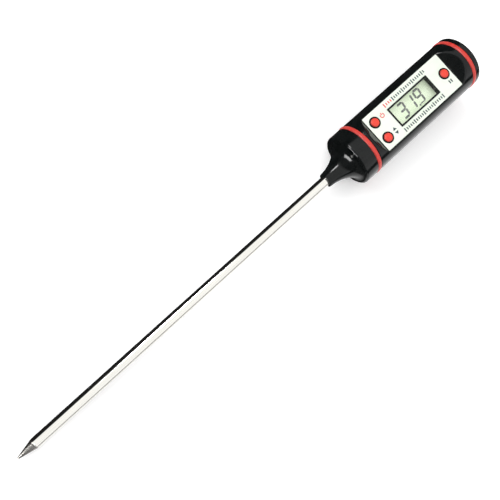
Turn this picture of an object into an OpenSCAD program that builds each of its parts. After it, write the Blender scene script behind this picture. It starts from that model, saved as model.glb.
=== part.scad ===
// Pen-type digital soil thermometer with a long stainless probe.
// The probe axis is X, the tip points towards -X and the battery cap towards +X.
// The display faces +Z. The origin is on the axis where the probe leaves the handle's neck.

/* [Probe] */
// Length of the probe that shows, from the neck to the point
probe_length = 145; // [100:1:300]
// Outer diameter of the probe tube
probe_d = 4; // [3.5:0.1:4.4]
// Wall of the probe tube
probe_wall = 0.3; // [0.2:0.05:0.4]
// Length of the ground point
tip_length = 7.4; // [4:0.1:10]
// Radius of the blunted point
tip_blunt_r = 0.35; // [0.2:0.05:0.6]

/* [Handle] */
// Diameter of the barrel, the nose band and the battery cap
body_d = 21.6; // [21.6:0.1:23]
// Diameter over the red seal rings
ring_d = 22; // [21.9:0.1:23.4]
// Width of each seal ring along the axis
ring_w = 1.8; // [1.6:0.1:2.1]
// Diameter of the neck at the probe
neck_d = 5.7; // [5.4:0.1:6.4]
// Length of the nose from the neck to its seal ring
nose_length = 17.5; // [17:0.1:19]
// Length of the barrel between the two seal rings
barrel_length = 51; // [51:0.1:54]
// Thickness of the battery cap outside its seal ring
cap_flange = 2.3; // [2.2:0.1:4]

/* [Face] */
// Height of the flat face above the axis
face_z = 7.35; // [7.2:0.05:7.45]
// Length of the flat face
face_length = 41.1; // [41.1:0.1:42]
// Length of the slope at the nose end of the flat face
nose_slope = 3.2; // [2.8:0.1:3.9]
// Length of the slope at the cap end of the flat face
cap_slope = 4.5; // [3.2:0.1:5]
// Thickness of the printed label and of its recess
label_t = 0.3; // [0.2:0.05:0.3]
// Width of the label
label_w = 15.4; // [14:0.1:15.4]
// Length of the display bezel
bezel_l = 21.2; // [20:0.1:22]
// Width of the display bezel
bezel_w = 8.7; // [8:0.1:9]
// Width of the bezel's rim
bezel_rim = 0.65; // [0.6:0.05:1]
// Diameter of the push buttons
button_d = 3.3; // [2.8:0.1:3.6]
// Travel of the push buttons
button_travel = 0.5; // [0.3:0.1:0.5]

/* [Battery] */
// Diameter of the button cell
cell_d = 11.6; // [11:0.1:11.6]
// Thickness of the button cell
cell_t = 5.4; // [5:0.1:5.4]
// Pitch of the battery cap's screw thread
thread_pitch = 2; // [1.8:0.1:2.1]

/* [Hidden] */
$fn = 96;

black = [0.05, 0.06, 0.06];
red = [0.86, 0.16, 0.12];
steel = [0.78, 0.78, 0.76];
gap = 0.03;                                   // clearance between glued or nested fixed pieces
body_r = body_d / 2;
probe_r = probe_d / 2;
bore_r = probe_r - probe_wall;

// Stations along the axis
ring_gap = ring_w + 2 * gap;                  // room that a seal ring has
nose_ring_x = nose_length;                    // seat of the nose ring starts here
barrel_x = nose_length + ring_gap;            // nose end of the barrel
cap_ring_x = barrel_x + barrel_length;        // seat of the cap ring starts here
cap_x = cap_ring_x + ring_gap;                // inner face of the cap's flange
end_x = cap_x + cap_flange;                   // outer face of the cap
face_x = barrel_x + 4.25;                     // nose end of the flat face
face_end_x = face_x + face_length;
face_mid_x = face_x + 21.1;                   // middle of the display
power_xy = [face_x + 3.5, 3.7];
unit_xy = [face_x + 3.5, -3.7];
hold_xy = [face_end_x - 3.1, 0];

// Shell
wall = 1.6;
cavity_r = body_r - wall;
seat_r = 9.7;                                 // radius of the seal rings' seats
recess_z = face_z - label_t;                  // floor of the label's recess
ceiling_z = recess_z - 1.4;                   // inside of the front wall
spigot_end_x = barrel_x + 4.9;                // inner end of the nose's spigot

// Probe
shoulder_x = -probe_length + tip_length;
tube_end_x = 14;
neck_in = 0.4;                                // how far the moulded-in end of the tube is rolled down
neck_in_x = 0.2;                              // where the rolling starts, just inside the neck
ferrule_x = 7.5;
ferrule_r = 3;

// Electronics, from the board upwards
board_z = 0.9;
board_t = 1;
board_top = board_z + board_t;
board_x = spigot_end_x + 0.6;
board_end_x = hold_xy[0] + 2.2;
board_w = 14.8;
glass_t = 0.95;
crystal_gap = 0.08;                           // layer of liquid crystal between the two glasses
glass_l = 24.5;
glass_w = 12.4;
lens_flange_z = ceiling_z - 0.55;
lcd_top = lens_flange_z - 0.1;
lcd_x = face_mid_x - glass_l / 2;

// Buttons and switches
switch_w = 4;
switch_h = 1.7;
plunger_r = 1;
plunger_top = board_top + 2.5;
button_r = button_d / 2;
button_hole_r = button_r + 0.1;
collar_r = button_r + 0.6;                     // black collar round each button
collar_top = face_z + 0.15;
label_hole_r = collar_r + 0.05;
button_top = face_z + 0.65;

// Battery end
wall_end_x = board_end_x + 0.8;               // battery side of the chassis' end wall
cell_end_x = cap_x - 0.9;
cell_x = cell_end_x - cell_t;
thread_bore_r = 7.6;                          // root of the barrel's female thread
thread_root_r = 6.75;                         // root of the cap's male thread
thread_crest = 0.65;                          // height of both ridges
female_thread_x = cap_x - 5.1;
male_thread_x = female_thread_x + thread_pitch / 2;
plug_x = male_thread_x - 0.55;                // inner end of the cap's plug

// ---- helpers ----

module along_x(x = 0) translate([x, 0, 0]) rotate([0, 90, 0]) children();

module rod_x(r, x0, x1) along_x(x0) cylinder(r = r, h = x1 - x0);

module block(x, y, z) {
    // A box given by its ranges
    translate([x[0], y[0], z[0]]) cube([x[1] - x[0], y[1] - y[0], z[1] - z[0]]);
}

module slab(x, y, z, r) {
    // A box with its four vertical edges rounded
    translate([0, 0, z[0]]) linear_extrude(z[1] - z[0])
        translate([(x[0] + x[1]) / 2, (y[0] + y[1]) / 2]) rounded_rect(x[1] - x[0], y[1] - y[0], r);
}

module rounded_rect(l, w, r) {
    polygon([for (c = [[1, 1, 0], [-1, 1, 90], [-1, -1, 180], [1, -1, 270]], a = [0 : 15 : 90])
        [c[0] * (l / 2 - r) + r * cos(c[2] + a), c[1] * (w / 2 - r) + r * sin(c[2] + a)]]);
}

// The part of the cavity's circle that lies under a height, as a length of the D-shaped section
module d_rod(r, x0, x1, top) {
    intersection() {
        rod_x(r, x0, x1);
        block([x0 - 1, x1 + 1], [-r - 1, r + 1], [-r - 1, top]);
    }
}

// Faces of a tube of rings, each with n points, closed at both ends
function tube_faces(rings, n) = concat(
    [[for (k = [0 : n - 1]) k]],
    [for (i = [0 : rings - 2], k = [0 : n - 1])
        [i * n + k, (i + 1) * n + k, (i + 1) * n + (k + 1) % n, i * n + (k + 1) % n]],
    [[for (k = [n - 1 : -1 : 0]) (rings - 1) * n + k]]);

// A wire whose route keeps close to the X direction, given by its points
module wire(route, r, sides = 10) {
    polyhedron(
        points = [for (p = route, k = [0 : sides - 1])
            [p[0], p[1] + r * cos(-k * 360 / sides), p[2] + r * sin(-k * 360 / sides)]],
        faces = tube_faces(len(route), sides), convexity = 4);
}

// A section wound about the X axis: section(t) gives [axial, radial] points for t from 0 to 1
module winding(x0, pitch, turns, steps, sections) {
    n = len(sections[0]);
    polyhedron(
        points = [for (i = [0 : steps], p = sections[i])
            let (a = 360 * turns * i / steps)
            [x0 + pitch * turns * i / steps + p[0], p[1] * cos(a), p[1] * sin(a)]],
        faces = tube_faces(steps + 1, n), convexity = 10);
}

// Ridge of a screw thread, from its root to its crest: it fades in and out at its ends
module thread_ridge(x0, turns, root, crest) {
    steps = round(turns * 24);
    side = sign(crest - root);                // 1 on a male thread, -1 on a female one
    half_root = 0.55;
    half_crest = 0.2;
    sunk = root - side * 0.3;
    function rise(t) = 0.2 + 0.8 * min(1, t * turns * 6, (1 - t) * turns * 6);
    winding(x0, thread_pitch, turns, steps,
        [for (i = [0 : steps]) let (top = root + (crest - root) * rise(i / steps))
            [[-side * half_root, sunk], [side * half_root, sunk],
             [side * half_crest, top], [-side * half_crest, top]]]);
}

function arc(cx, cy, r, a0, a1, n) = [for (i = [0 : n]) let (a = a0 + (a1 - a0) * i / n)
    [cx + r * cos(a), cy + r * sin(a)]];

// Revolves [x, radius] points about the X axis
module lathe(profile) along_x() rotate_extrude() polygon([for (p = profile) [p[1], p[0]]]);

// ---- probe ----

module probe_tube() {
    // The end inside the nose is rolled down, so that the moulding grips it
    color(steel) lathe([
        [shoulder_x, bore_r], [shoulder_x, probe_r], [neck_in_x, probe_r],
        [neck_in_x + 0.3, probe_r - neck_in],
        [tube_end_x, probe_r - neck_in], [tube_end_x, bore_r - neck_in],
        [neck_in_x + 0.3, bore_r - neck_in], [neck_in_x, bore_r]]);
}

module probe_tip() {
    point_x = -probe_length;
    lean = atan((probe_r - tip_blunt_r) / tip_length);
    color(steel) lathe(concat(
        [[point_x, 0]],
        arc(point_x + tip_blunt_r, 0, tip_blunt_r, 180, 90 + lean, 6),
        [[shoulder_x - 0.35, probe_r - 0.05], [shoulder_x - 0.12, probe_r - 0.18],
         [shoulder_x, probe_r - 0.18], [shoulder_x, bore_r - gap], [shoulder_x + 2, bore_r - gap],
         [shoulder_x + 2, 0]]));
}

bead_x = shoulder_x + 4.4;
bead_r = 0.95;

module thermistor_bead() {
    color([0.75, 0.45, 0.2]) translate([bead_x, 0, 0]) sphere(r = bead_r, $fn = 48);
}

lead_r = 0.4;
lead_y = 0.55;
lead_start_x = bead_x + 1.3;
lead_end_x = board_x + 4.2;
lead_end_y = 5.6;
lead_end_z = board_z - lead_r - gap;

// Route of a sensor lead: straight through the tube, then a smooth S to its pad under the board
function smooth(t) = t * t * (3 - 2 * t);
function lead_route(side) = concat(
    [[lead_start_x, side * lead_y, 0], [tube_end_x + 3, side * lead_y, 0]],
    [for (i = [1 : 8]) let (t = i / 8)
        [tube_end_x + 3 + t * (board_x - 2 - tube_end_x), side * (lead_y + smooth(t) * (lead_end_y - lead_y)),
         smooth(t) * lead_end_z]],
    [[lead_end_x, side * lead_end_y, lead_end_z]]);

module sensor_lead_left() color([0.8, 0.1, 0.1]) wire(lead_route(1), lead_r);

module sensor_lead_right() color([0.9, 0.9, 0.88]) wire(lead_route(-1), lead_r);

module heat_paste() {
    color([0.92, 0.92, 0.9]) difference() {
        rod_x(bore_r - gap, shoulder_x + 2 + gap, lead_start_x + 3);
        translate([bead_x, 0, 0]) sphere(r = bead_r + gap, $fn = 48);
        for (side = [-1, 1])
            translate([0, side * lead_y, 0]) rod_x(lead_r + gap, bead_x, lead_start_x + 4);
    }
}

module probe_ferrule() {
    color([0.78, 0.62, 0.3]) lathe([
        [ferrule_x + gap, probe_r - neck_in + gap], [ferrule_x + gap, ferrule_r - 0.3],
        [ferrule_x + 0.3, ferrule_r], [tube_end_x - 0.8, ferrule_r], [tube_end_x - 0.8, ferrule_r + 1],
        [tube_end_x, ferrule_r + 1], [tube_end_x, probe_r - neck_in + gap]]);
}

module epoxy_seal() {
    color([0.25, 0.22, 0.2]) difference() {
        rod_x(8 - gap, tube_end_x + gap, tube_end_x + 2.4);
        for (side = [-1, 1])
            translate([0, side * lead_y, 0]) rod_x(lead_r + gap, tube_end_x - 1, tube_end_x + 3);
    }
}

// ---- nose ----

neck_face_x = 0.05;                           // the neck's end stands back from the mount by this
bell_length = 11.4;                           // from the neck to the shoulder's face
bell_lean = 0.06;
shoulder_round = 1.1;
bell_rise = body_r - shoulder_round - neck_d / 2 - bell_lean * bell_length;
bell_steps = 28;

// The nose outside: neck, concave bell, rounded shoulder and cylindrical band
function bell_r(x) = neck_d / 2 + bell_lean * x + bell_rise * (1 - sqrt(max(0, 1 - pow(x / bell_length, 2))));
function bell_profile() = [for (i = [0 : bell_steps])
    let (x = bell_length * sin(90 * i / bell_steps)) [x, bell_r(x)]];

module nose_cone() {
    neck_edge = 0.25;
    color(black) difference() {
        union() {
            lathe(concat(
                [[neck_face_x, 0], [neck_face_x, neck_d / 2 - neck_edge]],
                [for (p = bell_profile()) if (p[0] > neck_edge) p],
                arc(bell_length + shoulder_round, body_r - shoulder_round, shoulder_round, 180, 90, 8),
                [[nose_ring_x, body_r], [nose_ring_x, seat_r], [barrel_x - gap, seat_r],
                 [barrel_x - gap, 0]]));
            d_rod(cavity_r - 0.1, barrel_x - gap - 0.5, spigot_end_x, ceiling_z - 0.1);
        }
        rod_x(probe_r + gap / 2, -1, neck_in_x + 0.3);
        rod_x(probe_r - neck_in + gap / 2, neck_in_x, ferrule_x + 1);
        rod_x(ferrule_r + gap, ferrule_x, tube_end_x + 1);
        rod_x(ferrule_r + 1 + gap, tube_end_x - 0.8 - gap, tube_end_x + 1);
        rod_x(8, tube_end_x, nose_ring_x);
        d_rod(8, nose_ring_x - 0.5, spigot_end_x + 1, ceiling_z - 1.1);
    }
}

// Seal ring with a rounded outside, from its low edge x
module seal_ring(x) {
    edge = 0.45;
    color(red) lathe(concat(
        [[x, seat_r + gap]],
        arc(x + edge, ring_d / 2 - edge, edge, 180, 90, 6),
        arc(x + ring_w - edge, ring_d / 2 - edge, edge, 90, 0, 6),
        [[x + ring_w, seat_r + gap]]));
}

module nose_seal_ring() seal_ring(nose_ring_x + gap);

module cap_seal_ring() seal_ring(cap_ring_x + gap);

// ---- barrel and face ----

module face_cut() {
    // What is milled away above the flat face, with a slope at each end
    over = 1.3;
    top = face_z + (body_r - face_z) * over;
    translate([0, body_r + 1, 0]) rotate([90, 0, 0]) linear_extrude(body_d + 2) polygon([
        [face_x, face_z], [face_end_x, face_z],
        [face_end_x + cap_slope * over, top], [face_x - nose_slope * over, top]]);
}

module barrel() {
    edge = 0.25;
    color(black) union() {
        difference() {
            lathe([[barrel_x, 0], [barrel_x, body_r - edge], [barrel_x + edge, body_r],
                   [cap_ring_x - edge, body_r], [cap_ring_x, body_r - edge], [cap_ring_x, 0]]);
            face_cut();
            d_rod(cavity_r, barrel_x - 1, wall_end_x + 0.1, ceiling_z);
            rod_x(thread_bore_r, wall_end_x, cap_x + 1);
            slab([face_x + 0.25, face_end_x - 0.25], [-label_w / 2 - 0.05, label_w / 2 + 0.05],
                 [recess_z, face_z + 1], 0.5);
            block([face_mid_x - bezel_l / 2 - gap, face_mid_x + bezel_l / 2 + gap],
                  [-bezel_w / 2 - gap, bezel_w / 2 + gap], [ceiling_z - 1, face_z + 1]);
            for (p = [power_xy, unit_xy, hold_xy])
                translate([p[0], p[1], ceiling_z - 1]) cylinder(r = button_hole_r, h = 4, $fn = 48);
        }
        for (p = [power_xy, unit_xy, hold_xy]) translate([p[0], p[1], 0]) button_collar();
        thread_ridge(female_thread_x, 1.4, thread_bore_r, thread_bore_r - thread_crest);
    }
}

module button_collar() {
    rotate_extrude($fn = 48) polygon([
        [button_hole_r, recess_z - 0.3], [collar_r, recess_z - 0.3], [collar_r, collar_top - 0.12],
        [collar_r - 0.12, collar_top], [button_hole_r, collar_top]]);
}

module face_label() {
    color([0.96, 0.97, 0.97]) difference() {
        slab([face_x + 0.3, face_end_x - 0.3], [-label_w / 2, label_w / 2], [recess_z, face_z], 0.45);
        slab([face_mid_x - bezel_l / 2 - 0.05, face_mid_x + bezel_l / 2 + 0.05],
             [-bezel_w / 2 - 0.05, bezel_w / 2 + 0.05], [recess_z - 1, face_z + 1], 0.1);
        for (p = [power_xy, unit_xy, hold_xy])
            translate([p[0], p[1], recess_z - 1]) cylinder(r = label_hole_r, h = 3, $fn = 48);
    }
}

module display_bezel() {
    color(black) difference() {
        block([face_mid_x - bezel_l / 2, face_mid_x + bezel_l / 2], [-bezel_w / 2, bezel_w / 2],
              [ceiling_z, face_z + 0.22]);
        block([face_mid_x - bezel_l / 2 + bezel_rim, face_mid_x + bezel_l / 2 - bezel_rim],
              [-bezel_w / 2 + bezel_rim, bezel_w / 2 - bezel_rim], [ceiling_z - 1, face_z + 1]);
    }
}

module display_window() {
    boss_l = bezel_l / 2 - bezel_rim - gap;
    boss_w = bezel_w / 2 - bezel_rim - gap;
    color([0.85, 0.9, 0.88, 0.35]) union() {
        block([face_mid_x - bezel_l / 2 - 0.7, face_mid_x + bezel_l / 2 + 0.7],
              [-bezel_w / 2 - 0.6, bezel_w / 2 + 0.6], [lens_flange_z, ceiling_z - 0.05]);
        block([face_mid_x - boss_l, face_mid_x + boss_l], [-boss_w, boss_w],
              [lens_flange_z + 0.2, ceiling_z + 0.7]);
    }
}

// ---- display ----

module lcd_front_glass() {
    color([0.8, 0.86, 0.76]) block([lcd_x, lcd_x + glass_l], [-glass_w / 2, glass_w / 2],
                                   [lcd_top - glass_t, lcd_top]);
}

module lcd_back_glass() {
    color([0.78, 0.84, 0.74]) block([lcd_x, lcd_x + glass_l], [-4.7, 4.7],
                                    [lcd_top - crystal_gap - 2 * glass_t, lcd_top - crystal_gap - glass_t]);
}

module lcd_reflector() {
    top = lcd_top - crystal_gap - 2 * glass_t;
    color([0.75, 0.77, 0.72]) block([lcd_x + 0.5, lcd_x + glass_l - 0.5], [-4.4, 4.4], [top - 0.2, top]);
}

module zebra_strip(side) {
    color([0.85, 0.55, 0.6]) block([lcd_x + 1, lcd_x + glass_l - 1],
        [side * 5.5 - 0.55, side * 5.5 + 0.55], [board_top, lcd_top - glass_t]);
}

module zebra_strip_left() zebra_strip(1);

module zebra_strip_right() zebra_strip(-1);

module lcd_holder() {
    // Frame round the glass, with four feet that hook the board's edges
    color([0.9, 0.9, 0.88]) union() {
        difference() {
            block([lcd_x - 1.2, lcd_x + glass_l + 1.2], [-glass_w / 2 - 0.95, glass_w / 2 + 0.95],
                  [board_top, lcd_top - 0.1]);
            block([lcd_x - 0.1, lcd_x + glass_l + 0.1], [-glass_w / 2 - 0.1, glass_w / 2 + 0.1],
                  [board_top - 1, lcd_top + 1]);
        }
        for (x = [lcd_x + 3, lcd_x + glass_l - 3], side = [0, 1])
        translate([x, 0, 0]) mirror([0, side, 0]) {
            block([-1, 1], [glass_w / 2 + 0.5, board_w / 2 + 0.65], [board_top + gap, board_top + 0.8]);
            block([-1, 1], [board_w / 2 + 0.1, board_w / 2 + 0.65], [board_z + 0.1, board_top + 0.8]);
        }
    }
}

// ---- board ----

screw_places = [[power_xy[0], 0], [hold_xy[0] - 0.9, 5.6], [hold_xy[0] - 0.9, -5.6]];
screw_r = 0.8;
tray_y = 6.4;                                 // half the width of the trough under the board
tray_z = -6.6;                                // floor of the trough

module circuit_board() {
    color([0.1, 0.38, 0.2]) difference() {
        slab([board_x, board_end_x], [-board_w / 2, board_w / 2], [board_z, board_top], 0.6);
        for (p = screw_places)
            translate([p[0], p[1], board_z - 1]) cylinder(r = screw_r + 0.2, h = 3, $fn = 32);
    }
}

module chassis() {
    outer_r = cavity_r - 0.15;
    inner_end_x = board_end_x + 0.15;
    color([0.16, 0.17, 0.17]) difference() {
        union() {
            difference() {
                d_rod(outer_r, board_x, wall_end_x, board_z - gap);
                block([board_x - 1, inner_end_x], [-tray_y, tray_y], [tray_z, board_z + 1]);
            }
            d_rod(outer_r, inner_end_x, wall_end_x, ceiling_z - 0.2);
            intersection() {
                d_rod(outer_r, board_x, wall_end_x, board_z - gap);
                for (p = screw_places)
                    translate([p[0], p[1], tray_z - 0.5]) cylinder(r = 1.5, h = 9, $fn = 40);
            }
        }
        for (p = screw_places) translate([p[0], p[1], -3.5]) cylinder(r = screw_r, h = 6, $fn = 32);
        // Slots that let the two contacts through the end wall
        block([board_end_x - 1, wall_end_x + 1], [-1.7, 1.7], [tray_z - 0.02, tray_z + 0.42]);
        block([board_end_x - 1, wall_end_x + 1], [-4.8, -2.4], [board_top - 0.1, board_top + 0.42]);
    }
}

module board_screws() {
    color([0.8, 0.8, 0.78]) for (p = screw_places) translate([p[0], p[1], 0]) {
        translate([0, 0, -3.2]) cylinder(r = screw_r - gap, h = board_top + 3.3, $fn = 32);
        difference() {
            translate([0, 0, board_top + gap]) cylinder(r = 1.35, h = 0.8, $fn = 40);
            for (a = [0, 90])
                translate([0, 0, board_top + 0.9]) rotate([0, 0, a]) cube([1.7, 0.35, 0.8], center = true);
        }
    }
}

module chip_blob() {
    // Domed epoxy over the bonded chip, under the board
    color([0.03, 0.03, 0.03]) difference() {
        translate([face_mid_x, 0, board_z + 2.2]) sphere(r = 3.9, $fn = 64);
        block([face_mid_x - 5, face_mid_x + 5], [-5, 5], [board_z - gap, board_z + 7]);
    }
}

module timing_crystal() {
    color([0.8, 0.8, 0.82]) translate([face_mid_x + 4.5, 3.5, board_z - 1.1]) rod_x(1.05, 0, 6.2);
}

module small_parts(places, l, w, h) {
    for (p = places) block([p[0], p[0] + l], [p[1], p[1] + w], [board_z - gap - h, board_z - gap]);
}

module board_resistors() {
    color([0.1, 0.1, 0.12]) small_parts([for (i = [0 : 4]) [face_mid_x - 12 + i * 1.8, 4.6]], 1, 1.6, 0.5);
}

module board_capacitors() {
    color([0.7, 0.58, 0.42]) small_parts([for (i = [0 : 3]) [face_mid_x - 11 + i * 2.2, -6]], 1.25, 1.5, 0.8);
}

// ---- switches and buttons ----

module tact_switch(p) {
    half = switch_w / 2;
    color([0.2, 0.2, 0.22]) difference() {
        slab([p[0] - half, p[0] + half], [p[1] - half, p[1] + half], [board_top, board_top + switch_h], 0.3);
        translate([p[0], p[1], board_top + 0.2]) cylinder(r = plunger_r + 0.1, h = 3, $fn = 40);
    }
}

module switch_plunger(p) {
    color([0.85, 0.8, 0.7]) translate([p[0], p[1], board_top + 0.3 + button_travel])
        cylinder(r = plunger_r, h = plunger_top - board_top - 0.3 - button_travel, $fn = 40);
}

module push_button(p) {
    // A stem with a softly domed top, and a flange that keeps it behind the front wall
    dome = 0.45;
    color(red) translate([p[0], p[1], 0]) rotate_extrude($fn = 64) polygon(concat(
        [[0, plunger_top], [button_r + 0.6, plunger_top], [button_r + 0.6, ceiling_z - 0.05],
         [button_r, ceiling_z - 0.05], [button_r, button_top - dome]],
        [for (i = [1 : 8]) let (a = 90 * i / 8)
            [button_r * cos(a), button_top - dome + dome * sin(a)]]));
}

module power_switch() tact_switch(power_xy);

module unit_switch() tact_switch(unit_xy);

module hold_switch() tact_switch(hold_xy);

module power_switch_plunger() switch_plunger(power_xy);

module unit_switch_plunger() switch_plunger(unit_xy);

module hold_switch_plunger() switch_plunger(hold_xy);

module power_button() push_button(power_xy);

module unit_button() push_button(unit_xy);

module hold_button() push_button(hold_xy);

// ---- battery end ----

plate_t = 0.2;

module negative_contact() {
    // Disc under the spring, with a tab that reaches the board through the end wall
    color(steel) union() {
        rod_x(4.8, wall_end_x + gap, wall_end_x + gap + plate_t);
        block([board_end_x - 1.4, wall_end_x + gap + plate_t], [-4.6, -2.6],
              [board_top + gap, board_top + gap + plate_t]);
    }
}

module battery_spring() {
    // Conical coil that lies almost flat between the chassis and the cell
    turns = 3;
    steps = 72;
    wire_r = 0.25;
    start_x = wall_end_x + plate_t + wire_r + 2 * gap;
    height = cell_x - wire_r - gap - start_x;
    color(steel) winding(start_x, height / turns, turns, steps,
        [for (i = [0 : steps]) let (r = 4.2 - 2.4 * i / steps)
            [for (k = [0 : 7]) [wire_r * cos(-k * 45), r + wire_r * sin(-k * 45)]]]);
}

module positive_contact() {
    // Leaf from the chassis floor to the side of the cell, with a dimple that touches it
    z = tray_z;
    color([0.85, 0.75, 0.45]) union() {
        block([board_end_x - 8, plug_x - 0.2], [-1.4, 1.4], [z + gap, z + 0.28]);
        block([board_end_x - 8, board_end_x - 7.7], [-1.4, 1.4], [z + 0.1, board_z - gap]);
        translate([cell_x + 0.8, 0, z + 0.2])
            cylinder(r1 = 0.6, r2 = 0.35, h = -z - cell_d / 2 - 0.25, $fn = 40);
    }
}

module battery() {
    edge = 0.3;
    lid = 0.5;
    r = cell_d / 2;
    color([0.8, 0.8, 0.8]) lathe(concat(
        [[cell_x, 0], [cell_x, r - 1.4], [cell_x + lid, r - 1.2], [cell_x + lid, r - edge],
         [cell_x + lid + edge, r]],
        arc(cell_end_x - edge, r - edge, edge, 90, 0, 4),
        [[cell_end_x, 0]]));
}

module battery_cap() {
    cup_r = cell_d / 2 + 0.15;
    cup_x = cell_end_x + 0.05;
    edge = 0.9;
    slot_w = 1.8;
    slot_d = 1.2;
    color(black) union() {
        difference() {
            lathe(concat(
                [[plug_x, cup_r], [plug_x, thread_root_r - 0.3], [plug_x + 0.3, thread_root_r],
                 [cap_ring_x + gap, thread_root_r], [cap_ring_x + gap, seat_r], [cap_x, seat_r],
                 [cap_x, body_r - 0.2], [cap_x + 0.2, body_r]],
                arc(end_x - edge, body_r - edge, edge, 90, 0, 8),
                [[end_x, 0], [cup_x, 0], [cup_x, cup_r]]));
            block([end_x - slot_d, end_x + 1], [-7.5, 7.5], [-slot_w / 2, slot_w / 2]);
        }
        thread_ridge(male_thread_x, 1, thread_root_r, thread_root_r + thread_crest);
    }
}

probe_tube();
probe_tip();
thermistor_bead();
heat_paste();
sensor_lead_left();
sensor_lead_right();
probe_ferrule();
epoxy_seal();
nose_cone();
nose_seal_ring();
barrel();
face_label();
display_bezel();
display_window();
lcd_front_glass();
lcd_back_glass();
lcd_reflector();
lcd_holder();
zebra_strip_left();
zebra_strip_right();
chassis();
circuit_board();
chip_blob();
timing_crystal();
board_resistors();
board_capacitors();
board_screws();
power_switch();
unit_switch();
hold_switch();
power_switch_plunger();
unit_switch_plunger();
hold_switch_plunger();
power_button();
unit_button();
hold_button();
negative_contact();
battery_spring();
positive_contact();
battery();
battery_cap();
cap_seal_ring();
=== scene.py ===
import math

import bmesh
import bpy
from mathutils import Matrix, Vector


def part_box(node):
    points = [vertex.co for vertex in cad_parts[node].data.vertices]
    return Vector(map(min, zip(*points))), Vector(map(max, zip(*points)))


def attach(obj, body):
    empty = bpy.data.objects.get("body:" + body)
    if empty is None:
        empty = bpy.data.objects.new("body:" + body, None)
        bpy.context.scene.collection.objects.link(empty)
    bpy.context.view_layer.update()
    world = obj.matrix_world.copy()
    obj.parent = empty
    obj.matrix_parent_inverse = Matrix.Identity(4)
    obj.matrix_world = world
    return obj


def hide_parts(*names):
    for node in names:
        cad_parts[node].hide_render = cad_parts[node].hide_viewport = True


# A pen-type soil thermometer. Lengths in this script are in millimetres until MM turns them into metres.
# X runs from the point to the battery cap, and +Z comes out of the display.

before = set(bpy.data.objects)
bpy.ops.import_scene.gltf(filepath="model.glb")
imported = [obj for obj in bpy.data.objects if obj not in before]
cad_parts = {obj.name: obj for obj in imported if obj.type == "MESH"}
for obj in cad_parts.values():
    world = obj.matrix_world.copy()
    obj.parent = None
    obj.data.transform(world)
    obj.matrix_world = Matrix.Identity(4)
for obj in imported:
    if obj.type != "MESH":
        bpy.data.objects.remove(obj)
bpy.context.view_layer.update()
MM = 0.001


# ---- places that the frame gives ----

def span(node, axis):
    """Lowest and highest value of a node along an axis, in millimetres."""
    low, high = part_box(node)
    return low[axis] / MM, high[axis] / MM


X, Y, Z = 0, 1, 2
PROBE_R = span("probe_tube", Z)[1]
SHOULDER_X = span("probe_tube", X)[0]
TIP_X = span("probe_tip", X)[0]
BODY_R = span("nose_cone", Y)[1]
RING_R = span("nose_seal_ring", Y)[1]
NOSE_RING = span("nose_seal_ring", X)
CAP_RING = span("cap_seal_ring", X)
BARREL = span("barrel", X)
CAP = span("battery_cap", X)
FACE_Z = span("face_label", Z)[1]
RECESS_Z = span("face_label", Z)[0]
LABEL_X = span("face_label", X)
LABEL_HALF = span("face_label", Y)[1]
LABEL_Y = (-LABEL_HALF, LABEL_HALF)
BEZEL_X = span("display_bezel", X)
BEZEL_HALF = span("display_bezel", Y)[1]
BEZEL_Y = (-BEZEL_HALF, BEZEL_HALF)
BEZEL_TOP = span("display_bezel", Z)[1]
BUTTONS = {name: ((span(name, X)[0] + span(name, X)[1]) / 2, (span(name, Y)[0] + span(name, Y)[1]) / 2)
           for name in ("power_button", "unit_button", "hold_button")}
BUTTON_TOP = span("power_button", Z)[1]

# Sizes of the parts that a box doesn't give
GAP = 0.03                      # between fixed pieces
CUT_PAST = 1                    # how far a cutting tool goes on past the surface that it cuts
TUBE_WALL = 0.3
ROLL_X = (0.2, 0.5)             # where the tube's rolling down starts and ends
NECK_IN = 0.4                   # how far the tube is rolled down inside the nose
SEAT_R = 9.7                    # seats of the two seal rings
CAVITY_R = BODY_R - 1.6         # inside of the barrel
CEILING_Z = RECESS_Z - 1.4      # inside of the wall over the display
BUTTON_R = 1.65
HOLE_R = BUTTON_R + 0.1         # holes that the buttons move in
COLLAR_R = BUTTON_R + 0.6
BEZEL_RIM = 0.65
LABEL_GAP = 0.05                # round the label, and round the display and the collars in it
LABEL_EDGE = 0.3                # from the label's ends to the ends of the flat face
FLAT_X = (LABEL_X[0] - LABEL_EDGE, LABEL_X[1] + LABEL_EDGE)
THREAD_PITCH = 2.0
THREAD_CREST = 0.65             # height of a thread's ridge
THREAD_FOOT = 0.55              # half the ridge's width at its foot
THREAD_TOP = 0.2                # half its width at the crest
MALE_ROOT_R = 6.75
FEMALE_ROOT_R = 7.6


# ---- meshes ----

SHARP = math.radians(32)        # edges that turn by more than this stay sharp
SOFTEN_FROM = math.radians(20)  # corners that turn by less than this aren't rounded
SOFTEN_SHARE = 0.45             # the most of a side that one rounded corner takes
SHORTEST = 1e-4                 # roundings under this length are left out
MERGE = 1e-7                    # points closer than this, in metres, become one


def add_object(name, data):
    """An object in the scene that shows a mesh, curve, lamp or camera."""
    thing = bpy.data.objects.new(name, data)
    bpy.context.collection.objects.link(thing)
    return thing


def final_mesh(piece):
    """The mesh that an object has after its modifier or its curve's settings."""
    bpy.context.view_layer.update()
    return bpy.data.meshes.new_from_object(piece.evaluated_get(bpy.context.evaluated_depsgraph_get()))


def smooth(mesh):
    """Sets smooth shading with sharp edges."""
    mesh.shade_smooth()
    mesh.set_sharp_from_angle(angle=SHARP)


def clean_mesh(mesh):
    """Merges doubles, turns the faces outwards and sets the shading."""
    work = bmesh.new()
    work.from_mesh(mesh)
    bmesh.ops.remove_doubles(work, verts=work.verts, dist=MERGE)
    bmesh.ops.recalc_face_normals(work, faces=work.faces)
    work.to_mesh(mesh)
    work.free()
    smooth(mesh)


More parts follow.
